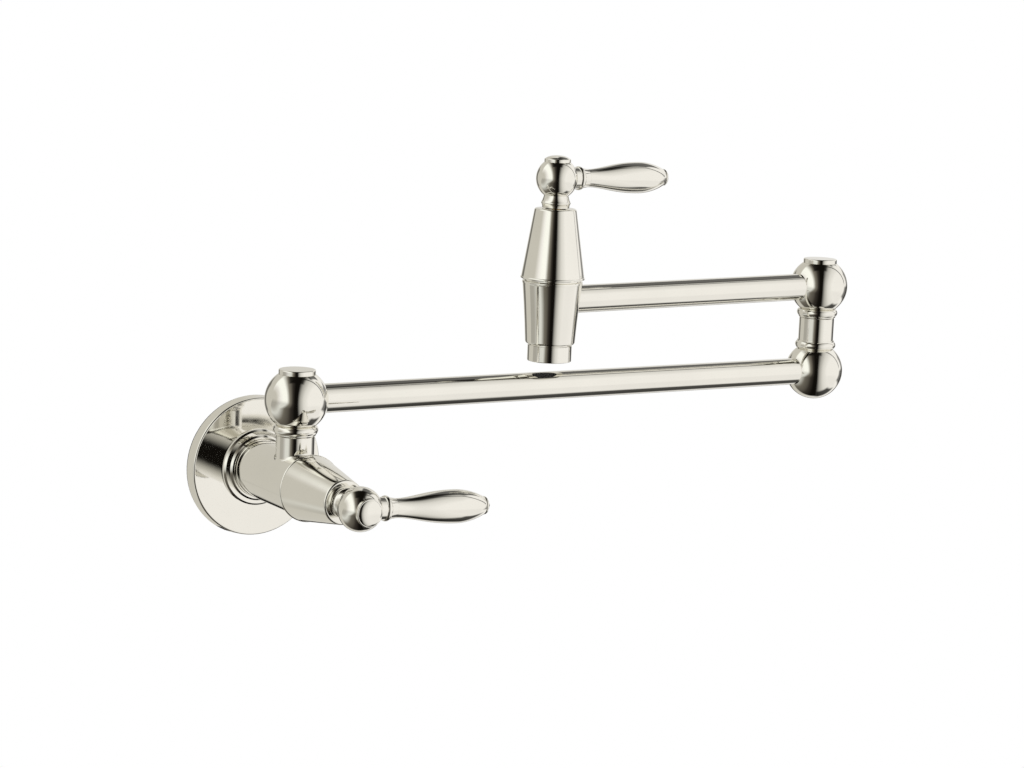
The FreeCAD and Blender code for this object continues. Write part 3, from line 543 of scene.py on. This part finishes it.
# %% Flange
BARREL_R = 16.3
BARREL_GAP = 0.05
SKIRT_R, SKIRT_INNER_R, SKIRT_BACK = 39.6, 36.9, 1.2
RIM_R = 38.9
RIM_ROUND = 1.1
FACE = 8.4
RING_1_R, RING_1_TOP = 21.4, 10.9
RING_2_R, RING_2_TOP = 18.4, 12.9
RING_ROUND = 1.0
HUB_BACK, FACE_BACK = 6.1, 6.4
cover_outline = draw_outline((SKIRT_INNER_R, SKIRT_BACK), [
    ("line", SKIRT_R, SKIRT_BACK, 0.2), ("line", RIM_R, FACE - RIM_ROUND),
    ("arc", RIM_R - RIM_ROUND, FACE - RIM_ROUND, -90),
    ("line", RING_1_R, FACE), ("line", RING_1_R, FACE_BACK), ("line", SKIRT_INNER_R, FACE_BACK)])
rings_outline = draw_outline((BARREL_R + BARREL_GAP, HUB_BACK), [
    ("line", RING_1_R, HUB_BACK), ("line", RING_1_R, RING_1_TOP - RING_ROUND),
    ("line", RING_1_R - RING_ROUND, RING_1_TOP),
    ("line", RING_2_R, RING_1_TOP), ("line", RING_2_R, RING_2_TOP - RING_ROUND),
    ("line", RING_2_R - RING_ROUND, RING_2_TOP),
    ("line", BARREL_R + BARREL_GAP, RING_2_TOP, 0.15)])
cover = finish_piece(on_lathe(cover_outline), "flange_cover", off_wall, "wall_unit", "wall_flange")
finish_piece(on_lathe(rings_outline), "flange_rings", off_wall, "wall_unit", "wall_flange")
behind_cover = ("wall_gasket", "wall_bracket", "body_lock_screws", "flange_o_ring")
for unseen in (cover, *(nodes[name] for name in behind_cover)):
    unseen.visible_glossy = False

# %% [markdown]
# ## Valve barrel
# The barrel stands straight out of the wall. Its front end is the threaded neck that the bonnet
# screws on to, and it is drilled: the supply comes in at the wall, and the cartridge sits in
# the wide bore in front. All of that is one outline.

# %% Barrel
CAVITY_R, CAVITY_FLOOR = 10.5, -27.3
WATERWAY_R = 5.0
INLET_R, INLET_DEPTH = 9.15, 18.0
NECK_R, NECK_TOP = 13.9, 9.0
barrel_outline = draw_outline((INLET_R, 0), [
    ("line", BARREL_R, 0), ("line", BARREL_R, WALL_SEAM, 0.25), ("line", NECK_R, WALL_SEAM),
    ("line", NECK_R, WALL_SEAM + NECK_TOP, 0.3), ("line", CAVITY_R, WALL_SEAM + NECK_TOP),
    ("line", CAVITY_R, WALL_SEAM + CAVITY_FLOOR), ("line", WATERWAY_R, WALL_SEAM + CAVITY_FLOOR),
    ("line", WATERWAY_R, INLET_DEPTH), ("line", INLET_R, INLET_DEPTH)])
finish_piece(on_lathe(barrel_outline), "valve_barrel", off_wall, "wall_unit", "valve_body")

# %% [markdown]
# ## Riser
# A short upright post grows out of the top of the barrel and carries the shoulder swivel. It is
# turned with a small flare at its foot. Then its lowest points are let down on to the round
# barrel, each by as much as the barrel has fallen away at that place, so the flare follows the
# saddle line.

# %% Riser
POST_R = 10.6
FOOT_ROUND = 1.2
FOOT_DEPTH = 2.0
STEM_HOLE_R = 7.25
WASHER_R, WASHER_DEPTH = 9.05, 0.5
BALL_TO_POST = 19.2
JUST_ABOVE = 0.01
POST_TOP = shoulder.z / MM - BALL_TO_POST
riser_bm = on_lathe(draw_outline((STEM_HOLE_R, BARREL_R - FOOT_DEPTH), [
    ("line", POST_R + FOOT_ROUND, BARREL_R - FOOT_DEPTH), ("line", POST_R + FOOT_ROUND, BARREL_R),
    ("arc", POST_R + FOOT_ROUND, BARREL_R + FOOT_ROUND, 90),
    ("line", POST_R, POST_TOP, 0.25), ("line", WASHER_R, POST_TOP),
    ("line", WASHER_R, POST_TOP - WASHER_DEPTH), ("line", STEM_HOLE_R, POST_TOP - WASHER_DEPTH)]))
for vert in riser_bm.verts:
    if vert.co.z < BARREL_R + FOOT_ROUND + JUST_ABOVE:
        vert.co.z += math.sqrt(BARREL_R ** 2 - vert.co.x ** 2) - BARREL_R
stand_off = Matrix.Translation((0, shoulder.y, 0))
finish_piece(riser_bm, "shoulder_riser", stand_off, "wall_unit", "valve_body")

# %% [markdown]
# ## Bonnets
# A long polished cone covers each cartridge. It starts with a thin lip at the seam and ends in
# a rounded rim with a hole, where the handle's spindle comes out. It is a shell, threaded
# inside at its wide end. The same outline serves the wall valve and the spout valve.

# %% Bonnets
BONNET_LIP_R, BONNET_BASE_R, BONNET_TIP_R = 18.4, 18.0, 11.9
BONNET_LENGTH = 40.1
BONNET_TIP_ROUND = 1.1
BONNET_THREAD_R, BONNET_THREAD_TOP = 13.95, 8.0
HOLLOW_BASE_R, HOLLOW_TIP_R, HOLLOW_TOP = 14.9, 10.2, 38.1
SPINDLE_HOLE_R = 6.0


def bonnet_outline():
    return draw_outline((BONNET_THREAD_R, 0), [
        ("line", BONNET_LIP_R, 0, 0.3), ("line", BONNET_LIP_R, 0.9, 0.25),
        ("line", BONNET_BASE_R, 1.2), ("line", BONNET_TIP_R, BONNET_LENGTH, BONNET_TIP_ROUND),
        ("line", SPINDLE_HOLE_R, BONNET_LENGTH, 0.2), ("line", SPINDLE_HOLE_R, HOLLOW_TOP),
        ("line", HOLLOW_TIP_R, HOLLOW_TOP), ("line", HOLLOW_BASE_R, BONNET_THREAD_TOP),
        ("line", BONNET_THREAD_R, BONNET_THREAD_TOP)])


for side, place, body in (("wall", on_wall_valve, "wall_unit"),
                          ("spout", on_spout_valve, "upper_arm")):
    finish_piece(on_lathe(bonnet_outline()), side + "_cone", place, body, side + "_bonnet")

# %% [markdown]
# ## Handle hubs and caps
# Each handle turns on a hub: a small foot, a raised ring, a waisted neck and a ball, turned in
# one piece. The ball's front is cut flat for a low cap that hides the handle's screw. Its top
# is flatter in the middle than at the rim, so the dark gap shows there as a crescent.

# %% Hubs and caps
HUB_BALL_R = 11.9
HUB_FOOT_R, HUB_FOOT = 7.8, 40.4
SPLINE_R, SPLINE_TOP = 4.05, 50.2
SCREW_HOLE_R, SCREW_HEAD_R = 2.75, 5.0
CAP_R, CAP_SIDE, CAP_EDGE, CAP_DOME = 7.55, 2.1, 0.6, 1.8
CAP_PLUG_R, CAP_PLUG_DEPTH = 4.95, 3.5
CAP_SEAT = HUB_BALL + math.sqrt(HUB_BALL_R ** 2 - CAP_R ** 2)


def hub_outline():
    return draw_outline((SPLINE_R, HUB_FOOT), [
        ("line", HUB_FOOT_R, HUB_FOOT, 0.2), ("line", HUB_FOOT_R, 41.4), ("line", 8.25, 42.7),
        ("bow", (8.45, 43.2), (8.25, 43.7)), ("bow", (7.6, 45.18), (7.0, 47.38)),
        ("bow", (HUB_BALL_R, HUB_BALL), (CAP_R, CAP_SEAT)),
        ("line", SCREW_HEAD_R, CAP_SEAT), ("line", SCREW_HEAD_R, HUB_BALL),
        ("line", SCREW_HOLE_R, HUB_BALL), ("line", SCREW_HOLE_R, SPLINE_TOP),
        ("line", SPLINE_R, SPLINE_TOP)])


def cap_outline():
    rim = CAP_R - CAP_EDGE
    side_top = CAP_SEAT + CAP_SIDE
    top = side_top + CAP_DOME
    return draw_outline((0, CAP_SEAT - CAP_PLUG_DEPTH), [
        ("line", CAP_PLUG_R, CAP_SEAT - CAP_PLUG_DEPTH, 0.3), ("line", CAP_PLUG_R, CAP_SEAT),
        ("line", CAP_R, CAP_SEAT, 0.1), ("line", CAP_R, side_top - CAP_EDGE),
        ("arc", rim, side_top - CAP_EDGE, -90),
        ("curve", (5.9, side_top + 1.0), (3.4, top), (0, top))])


handles = (("wall", on_wall_handle, "wall_handle"), ("spout", on_spout_handle, "spout_handle"))
for side, place, body in handles:
    finish_piece(on_lathe(hub_outline()), side + "_hub", place, body, side + "_handle_hub")
    finish_piece(on_lathe(cap_outline()), side + "_hub_cap", place, body, side + "_handle_cap")

# %% [markdown]
# ## Levers
# A lever is three turned pieces in a row. A short ferrule with one raised bead stands on the
# hub. The grip swells slowly like a baluster and tapers faster to its end, and a small button
# with a bead closes it. They are turned upright and then laid along X at the ball's height.

# %% Levers
FERRULE_R, FERRULE_START = 6.1, 9.6
FERRULE_BEAD_R, FERRULE_BEAD, FERRULE_BEAD_HALF = 6.8, 14.8, 1.4
LEVER_CORE_R = 2.5
GRIP_START, GRIP_WIDE, GRIP_END = 20.2, 57.0, 74.2
GRIP_THIN_R, GRIP_WIDE_R, GRIP_END_R = 5.2, 9.03, 4.8
TANG_R, TANG_START = 2.45, 6.2
TIP_HOLE_R, TIP_HOLE_START = 1.45, 69.1
BUTTON_R, BUTTON_T = 4.5, 1.5
BEAD_R, BEAD_NECK_R = 1.7, 1.3


def ferrule_outline():
    bead_top = FERRULE_BEAD + FERRULE_BEAD_HALF
    return draw_outline((LEVER_CORE_R, FERRULE_START), [
        ("line", FERRULE_R, FERRULE_START), ("line", FERRULE_R, FERRULE_BEAD - FERRULE_BEAD_HALF),
        ("bow", (FERRULE_BEAD_R, FERRULE_BEAD), (FERRULE_R, bead_top)),
        ("bow", (5.65, 18.0), (5.3, GRIP_START)), ("line", LEVER_CORE_R, GRIP_START)])


def grip_outline():
    return draw_outline((0, TANG_START), [
        ("line", TANG_R, TANG_START, 0.2), ("line", TANG_R, GRIP_START),
        ("line", GRIP_THIN_R, GRIP_START, 0.15),
        ("curve", (4.95, 30.6), (GRIP_WIDE_R, 39.0), (GRIP_WIDE_R, GRIP_WIDE)),
        ("curve", (GRIP_WIDE_R, 66.3), (5.14, 73.9), (GRIP_END_R, GRIP_END)),
        ("line", TIP_HOLE_R, GRIP_END), ("line", TIP_HOLE_R, TIP_HOLE_START),
        ("line", 0, TIP_HOLE_START)])


def tip_outline():
    button_top = GRIP_END + BUTTON_T
    bead_centre = button_top + math.sqrt(BEAD_R ** 2 - BEAD_NECK_R ** 2)
    return draw_outline((0, 69.2), [
        ("line", 1.4, 69.2), ("line", 1.4, GRIP_END), ("line", BUTTON_R, GRIP_END),
        ("bow", (BUTTON_R + 0.4, GRIP_END + BUTTON_T / 2), (BUTTON_R, button_top)),
        ("line", BEAD_NECK_R, button_top),
        ("bow", (BEAD_R, bead_centre), (0, bead_centre + BEAD_R))])


lever_makers = (("ferrule", "lever_ferrule", ferrule_outline), ("grip", "lever", grip_outline),
                ("grip_tip", "lever_tip", tip_outline))
for side, place, body in handles:
    out_of_ball = place @ Matrix.Translation((0, 0, HUB_BALL * MM)) @ lay_along_x
    for word, node, outline in lever_makers:
        finish_piece(on_lathe(outline()), f"{side}_{word}", out_of_ball, body, f"{side}_{node}")

# %% [markdown]
# ## Swivel balls
# The shoulder and the elbow are balls with a beaded collar underneath. The turning ball is
# bored for its hollow stem and has a well in its top for the washer and the nut. A flat cap
# closes the well. The lower ball of the elbow is one casting with its collar and the post.

# %% Swivels
BALL_R = 17.4
COLLAR_ROOT_R, COLLAR_R = 11.2, 12.3
COLLAR_NEAR, COLLAR_MIDDLE, COLLAR_FAR = 13.9, 15.9, 18.2
SEAM_DROP = 18.9
CAP_FLAT = 14.1
WELL_R, WELL_FLOOR = 8.6, 9.0
SWIVEL_CAP_R, SWIVEL_CAP_TOP = 10.1, 16.8
CAP_SPIGOT_R, CAP_SPIGOT_INNER_R = 8.55, 8.0
CAP_SPIGOT_FOOT, CAP_HOLLOW_TOP = 11.7, 15.3


def on_ball(height):
    """Radius of the ball so far above or below its centre."""
    return math.sqrt(BALL_R ** 2 - height ** 2)


def turning_ball_outline():
    return draw_outline((STEM_HOLE_R, -SEAM_DROP), [
        ("line", COLLAR_ROOT_R, -SEAM_DROP, 0.2), ("line", COLLAR_ROOT_R, -COLLAR_FAR),
        ("bow", (COLLAR_R, -COLLAR_MIDDLE), (COLLAR_ROOT_R, -COLLAR_NEAR)),
        ("line", on_ball(COLLAR_NEAR), -COLLAR_NEAR),
        ("bow", (BALL_R, 0), (on_ball(CAP_FLAT), CAP_FLAT)), ("line", WELL_R, CAP_FLAT),
        ("line", WELL_R, WELL_FLOOR), ("line", STEM_HOLE_R, WELL_FLOOR)])


def swivel_cap_outline():
    return draw_outline((0, CAP_HOLLOW_TOP), [
        ("line", CAP_SPIGOT_INNER_R, CAP_HOLLOW_TOP),
        ("line", CAP_SPIGOT_INNER_R, CAP_SPIGOT_FOOT), ("line", CAP_SPIGOT_R, CAP_SPIGOT_FOOT),
        ("line", CAP_SPIGOT_R, CAP_FLAT), ("line", SWIVEL_CAP_R, CAP_FLAT, 0.1),
        ("line", SWIVEL_CAP_R, SWIVEL_CAP_TOP, 0.7), ("line", 0, SWIVEL_CAP_TOP)])


swivels = (("shoulder", at_shoulder, "lower_arm", "shoulder_ball"),
           ("elbow", at_elbow_high, "upper_arm", "elbow_upper_ball"))
for joint, place, body, ball_node in swivels:
    finish_piece(on_lathe(turning_ball_outline()), joint + "_turning_ball", place, body, ball_node)
    finish_piece(on_lathe(swivel_cap_outline()), joint + "_ball_cap", place, body, joint + "_cap")

# %% [markdown]
# The elbow's lower ball is turned the other way up: the collar and the post stand on top of it,
# and the waterway comes up through its middle into the hole for the hollow stem.

# %% Elbow's lower ball and post
STEM_HOLE_DEPTH = 12.0
ELBOW_WATERWAY_R = 4.6
ELBOW_POST_TOP = (elbow_high.z - elbow_low.z) / MM - BALL_TO_POST
STEM_HOLE_FLOOR = ELBOW_POST_TOP - STEM_HOLE_DEPTH
lower_ball_outline = draw_outline((0, -BALL_R), [
    ("bow", (BALL_R, 0), (on_ball(COLLAR_NEAR), COLLAR_NEAR)),
    ("line", COLLAR_ROOT_R, COLLAR_NEAR),
    ("bow", (COLLAR_R, COLLAR_MIDDLE), (COLLAR_ROOT_R, COLLAR_FAR)),
    ("line", COLLAR_ROOT_R, SEAM_DROP), ("line", POST_R, SEAM_DROP),
    ("line", POST_R, ELBOW_POST_TOP, 0.25), ("line", WASHER_R, ELBOW_POST_TOP),
    ("line", WASHER_R, ELBOW_POST_TOP - WASHER_DEPTH),
    ("line", STEM_HOLE_R, ELBOW_POST_TOP - WASHER_DEPTH), ("line", STEM_HOLE_R, STEM_HOLE_FLOOR),
    ("line", ELBOW_WATERWAY_R, STEM_HOLE_FLOOR), ("line", ELBOW_WATERWAY_R, 0), ("line", 0, 0)])
finish_piece(on_lathe(lower_ball_outline), "elbow_lower_casting", at_elbow_low, "lower_arm",
             "elbow_lower_ball")

# %% [markdown]
# ## Arm tubes
# Both arms are plain thin tubes that end in sockets inside the balls and the spout. A tube is
# turned upright like everything else and laid along X. Its faces run its whole length, so the
# reflections on it stay dead straight.

# %% Tubes
TUBE_R, TUBE_INNER_R = 8.0, 6.8
BALL_SEAT, SPOUT_SEAT = 11.0, 12.1


def tube_outline(start, end):
    return draw_outline((TUBE_INNER_R, start), [
        ("line", TUBE_R, start, 0.2), ("line", TUBE_R, end, 0.2), ("line", TUBE_INNER_R, end)])


lower_arm_length = (elbow_low.x - shoulder.x) / MM
finish_piece(on_lathe(tube_outline(BALL_SEAT, lower_arm_length - BALL_SEAT)), "lower_arm_tube",
             at_shoulder @ lay_along_x, "lower_arm", "lower_tube")
sloping_length = math.hypot(upper_arm_length, ARM_FALL)
finish_piece(on_lathe(tube_outline(SPOUT_SEAT, sloping_length - BALL_SEAT)), "upper_arm_tube",
             along_upper_arm, "upper_arm", "upper_tube")

# %% [markdown]
# ## Spout body and nozzle
# The spout hangs from the end of the upper arm. Its body widens upwards in one slow curve to a
# rim and a groove under the second bonnet. The outline of the body also goes down inside,
# through the bore for the cartridge and the waterway, to the bore for the nozzle's thread.

# %% Spout
FOOT_R, WAIST, RIM_FOOT = 14.3, (15.2, -10.3), (17.0, 9.4)
FOOT_ROUNDING = 1.4
SPOUT_RIM_R = 17.3
SPOUT_BOTTOM = -24.8
NOZZLE_BORE_R, NOZZLE_BORE_TOP = 10.05, SPOUT_BOTTOM + 5.4
spout_outline = draw_outline((NOZZLE_BORE_R, SPOUT_BOTTOM), [
    ("line", FOOT_R - FOOT_ROUNDING, SPOUT_BOTTOM),
    ("arc", FOOT_R - FOOT_ROUNDING, SPOUT_BOTTOM + FOOT_ROUNDING, -90),
    ("bow", WAIST, RIM_FOOT), ("line", SPOUT_RIM_R, 10.0, 0.15), ("line", SPOUT_RIM_R, 11.1, 0.15),
    ("line", BARREL_R, 11.5), ("line", BARREL_R, SPOUT_SEAM), ("line", NECK_R, SPOUT_SEAM),
    ("line", NECK_R, SPOUT_SEAM + NECK_TOP, 0.3), ("line", CAVITY_R, SPOUT_SEAM + NECK_TOP),
    ("line", CAVITY_R, SPOUT_SEAM + CAVITY_FLOOR), ("line", WATERWAY_R, SPOUT_SEAM + CAVITY_FLOOR),
    ("line", WATERWAY_R, NOZZLE_BORE_TOP), ("line", NOZZLE_BORE_R, NOZZLE_BORE_TOP)])
finish_piece(on_lathe(spout_outline), "spout_casting", on_spout, "upper_arm", "spout_body")

# %% [markdown]
# The nozzle is a plain ring that screws into the spout from below. A fine groove parts the two,
# and a ledge inside its mouth holds the aerator.

# %% Nozzle
NOZZLE_R, NOZZLE_GROOVE_R, NOZZLE_THREAD_R = 12.7, 11.8, 10.0
AERATOR_R, MOUTH_R = 9.0, 8.1
MOUTH = SPOUT_BOTTOM - 10.0
GROOVE_FOOT = SPOUT_BOTTOM - 0.7
NOZZLE_TOP = SPOUT_BOTTOM + 5.3
LEDGE = MOUTH + 1.2
nozzle_outline = draw_outline((MOUTH_R, MOUTH), [
    ("line", NOZZLE_R, MOUTH, 0.5), ("line", NOZZLE_R, GROOVE_FOOT, 0.15),
    ("line", NOZZLE_GROOVE_R, GROOVE_FOOT), ("line", NOZZLE_GROOVE_R, SPOUT_BOTTOM),
    ("line", NOZZLE_THREAD_R, SPOUT_BOTTOM), ("line", NOZZLE_THREAD_R, NOZZLE_TOP),
    ("line", AERATOR_R, NOZZLE_TOP), ("line", AERATOR_R, LEDGE), ("line", MOUTH_R, LEDGE)])
finish_piece(on_lathe(nozzle_outline), "aerator_housing", on_spout, "upper_arm", "nozzle_ring")

# %% [markdown]
# ## The carried nodes
# The seals, stems, cartridges, discs, screws and the bracket already have their right shape in
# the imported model. They keep their mesh and get the finish of their slot.

# %% Finishes for the carried nodes
carried = 0
for entry in frame["record"]["subparts"]:
    finish = finish_of_slot.get(entry["material_slot"])
    if finish:
        for slot in nodes[entry["node"]].material_slots:
            slot.material = finish
        carried += 1
print("carried nodes with a finish:", carried)

# %% [markdown]
# ## Floor
# A pale disc far below closes the scene for the views from above. Mirrors don't see it, because
# the photograph's tent had no floor edge in it.

# %% Floor
FLOOR_Z = -1.6
FLOOR_R = 4.0
bm = bmesh.new()
bmesh.ops.create_circle(bm, cap_ends=True, segments=96, radius=FLOOR_R)
bmesh.ops.translate(bm, vec=(0, 0, FLOOR_Z), verts=bm.verts[:])
floor_mesh = bpy.data.meshes.new("floor")
bm.to_mesh(floor_mesh)
bm.free()
floor = bpy.data.objects.new("floor", floor_mesh)
bpy.context.scene.collection.objects.link(floor)
floor.visible_glossy = False
pale = bpy.data.materials.new("pale_floor")
pale.use_nodes = True
pale.node_tree.nodes.clear()
glow = add_node(pale.node_tree, "ShaderNodeEmission", {"Color": (1, 1, 1, 1), "Strength": 1.0})
add_node(pale.node_tree, "ShaderNodeOutputMaterial", {"Surface": glow.outputs[0]})
floor_mesh.materials.append(pale)
